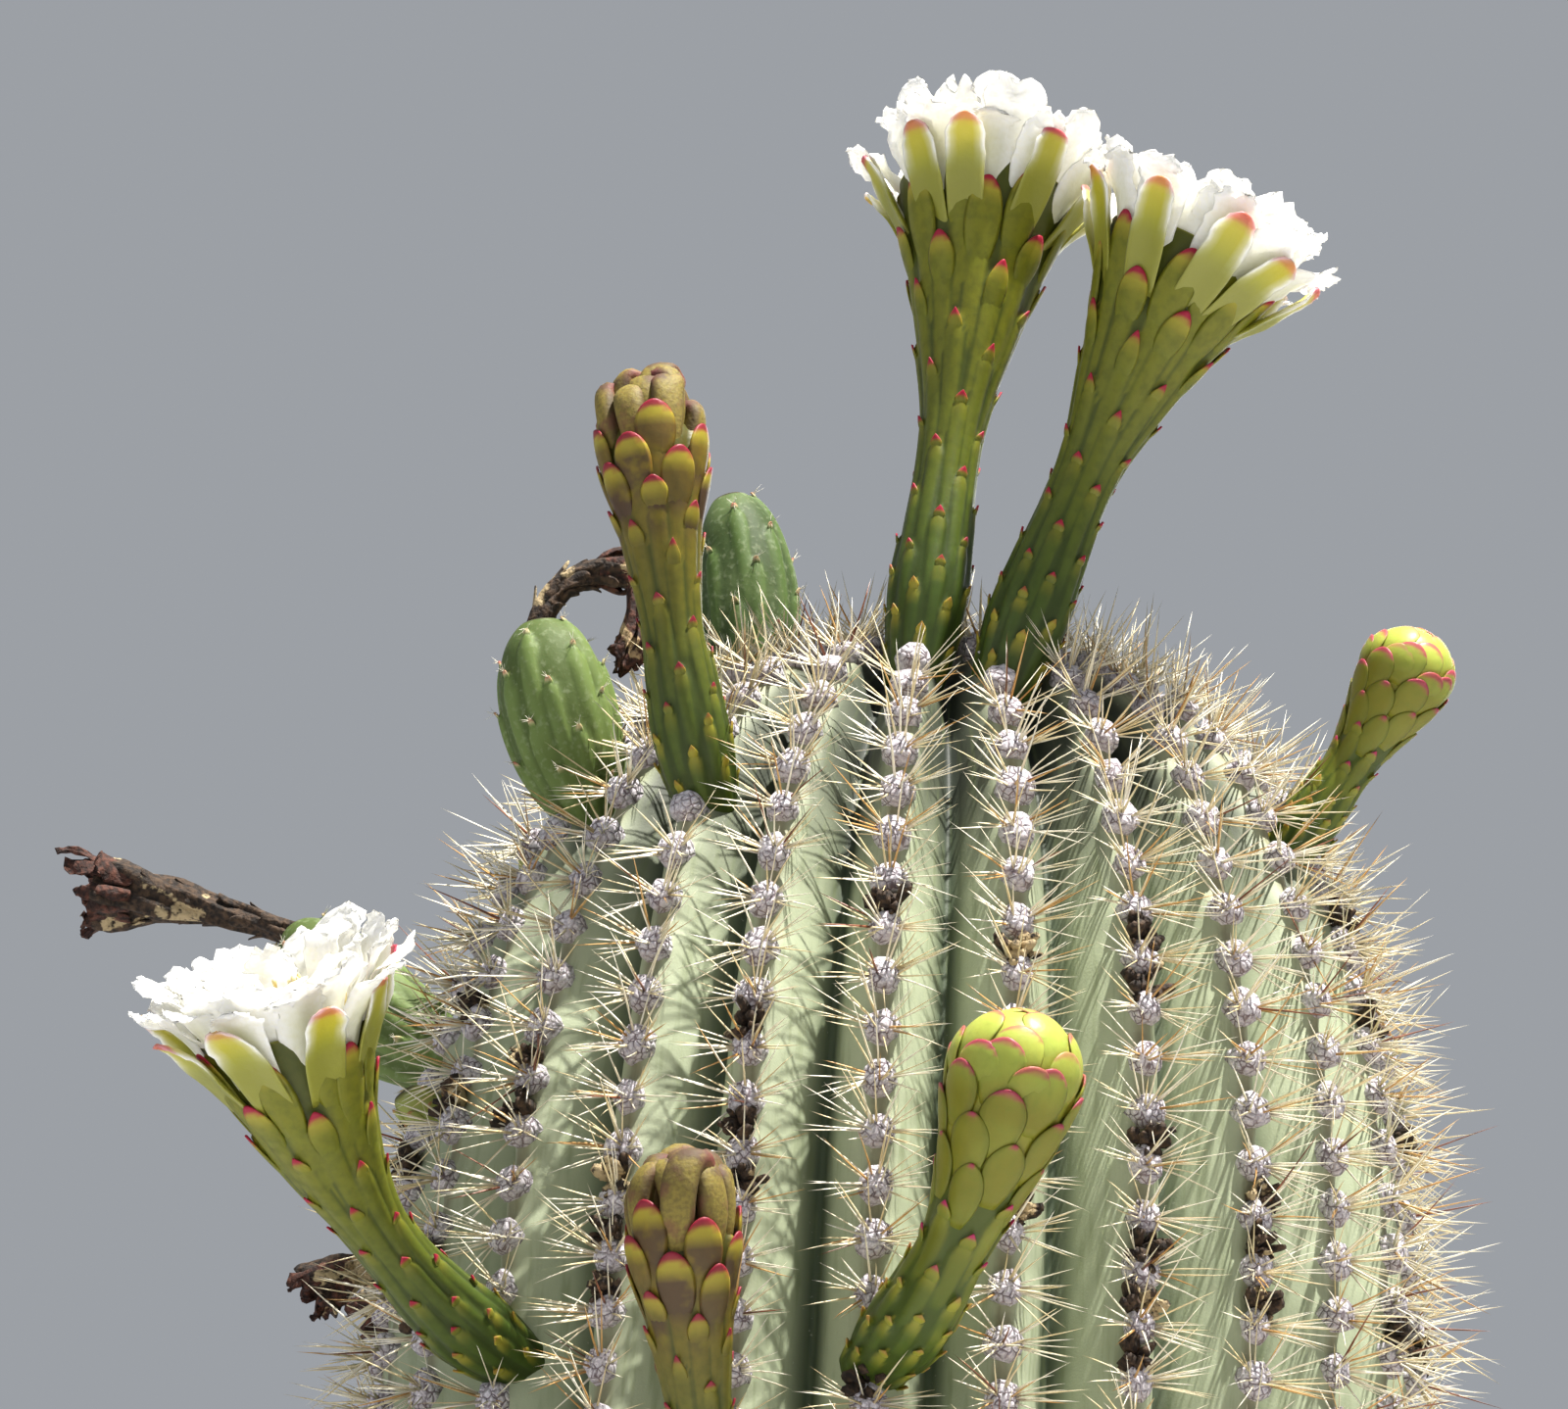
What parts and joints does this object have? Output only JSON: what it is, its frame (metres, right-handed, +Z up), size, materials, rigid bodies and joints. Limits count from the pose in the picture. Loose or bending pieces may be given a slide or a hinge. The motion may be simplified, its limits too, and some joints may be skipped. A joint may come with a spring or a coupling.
{
  "type": "saguaro cactus stem tip in bloom",
  "caption": "End of a ribbed, spiny saguaro cactus stem, cut off flat below, with open and closing flowers, buds, green fruits and withered flowers growing from its ribs.",
  "frame": {"origin": "middle of the flat cut through the stem, on the ground mount", "axes": "+Z up along the stem; the side seen in the picture faces -Y; +X is to the right of it"},
  "size_m": [0.2886, 0.3437, 0.3762],
  "materials": {
    "stem": "matt waxy skin, pale grey-green",
    "flower_tube": "satin, yellow-green",
    "petal": "waxy white",
    "stamen": "matt cream",
    "closing_flower": "satin, ochre green",
    "bud": "satin, lime green with magenta margins",
    "fruit": "satin, dull green with a grey bloom",
    "dried_flower": "matt, dark brown",
    "areole_felt": "matt grey-white felt",
    "spine": "satin straw to amber"
  },
  "bodies": {
    "root": {"stem": "stem", "open_flower_1": "flower_tube", "open_flower_2": "flower_tube", "open_flower_3": "flower_tube", "open_flower_4": "flower_tube", "open_flower_5": "flower_tube", "closing_flower_1": "closing_flower", "closing_flower_2": "closing_flower", "closing_flower_3": "closing_flower", "bud_1": "bud", "bud_2": "bud", "bud_3": "bud", "bud_4": "bud", "fruit_1": "fruit", "fruit_2": "fruit", "fruit_3": "fruit", "fruit_4": "fruit", "fruit_5": "fruit", "young_fruit_1": "fruit", "young_fruit_2": "fruit", "dried_flower_1": "dried_flower", "dried_flower_2": "dried_flower", "dried_flower_3": "dried_flower", "dried_flower_4": "dried_flower"}
  },
  "joints": []
}
